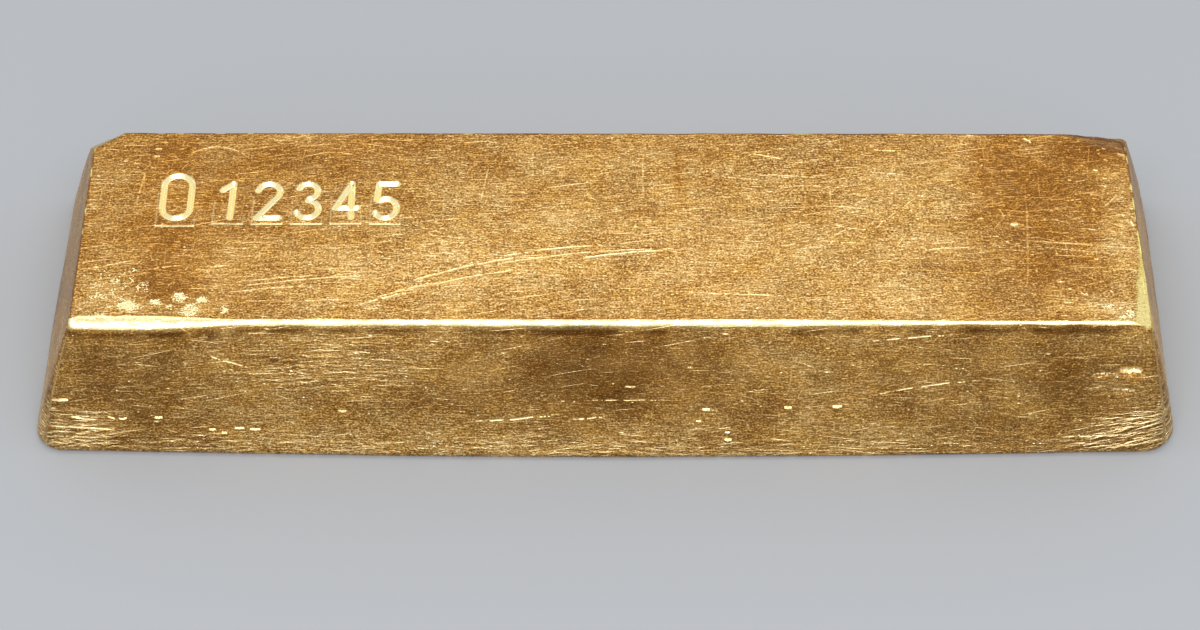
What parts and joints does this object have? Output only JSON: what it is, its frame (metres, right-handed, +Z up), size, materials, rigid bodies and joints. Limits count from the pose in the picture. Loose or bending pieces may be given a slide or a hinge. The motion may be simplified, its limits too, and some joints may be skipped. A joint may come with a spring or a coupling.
{
  "type": "cast gold bar",
  "caption": "Large cast gold bar lying on its wide cast face: sloping bowed walls, worn edges, a sample cut and beaten corners, plain punched digits on top",
  "frame": {"origin": "middle of the underside's bounding box, on the plane that the bar rests on", "axes": "+X along the length, with the row of punched digits at the -X end of the top; +Y towards the back, so the digits read upright from the -Y side; +Z up, out of the small face"},
  "size_m": [0.2703, 0.0854, 0.035],
  "materials": {
    "gold": "worn cast gold, brushed and scratched, browned in patches"
  },
  "bodies": {
    "root": {"bar": "gold"}
  },
  "joints": []
}
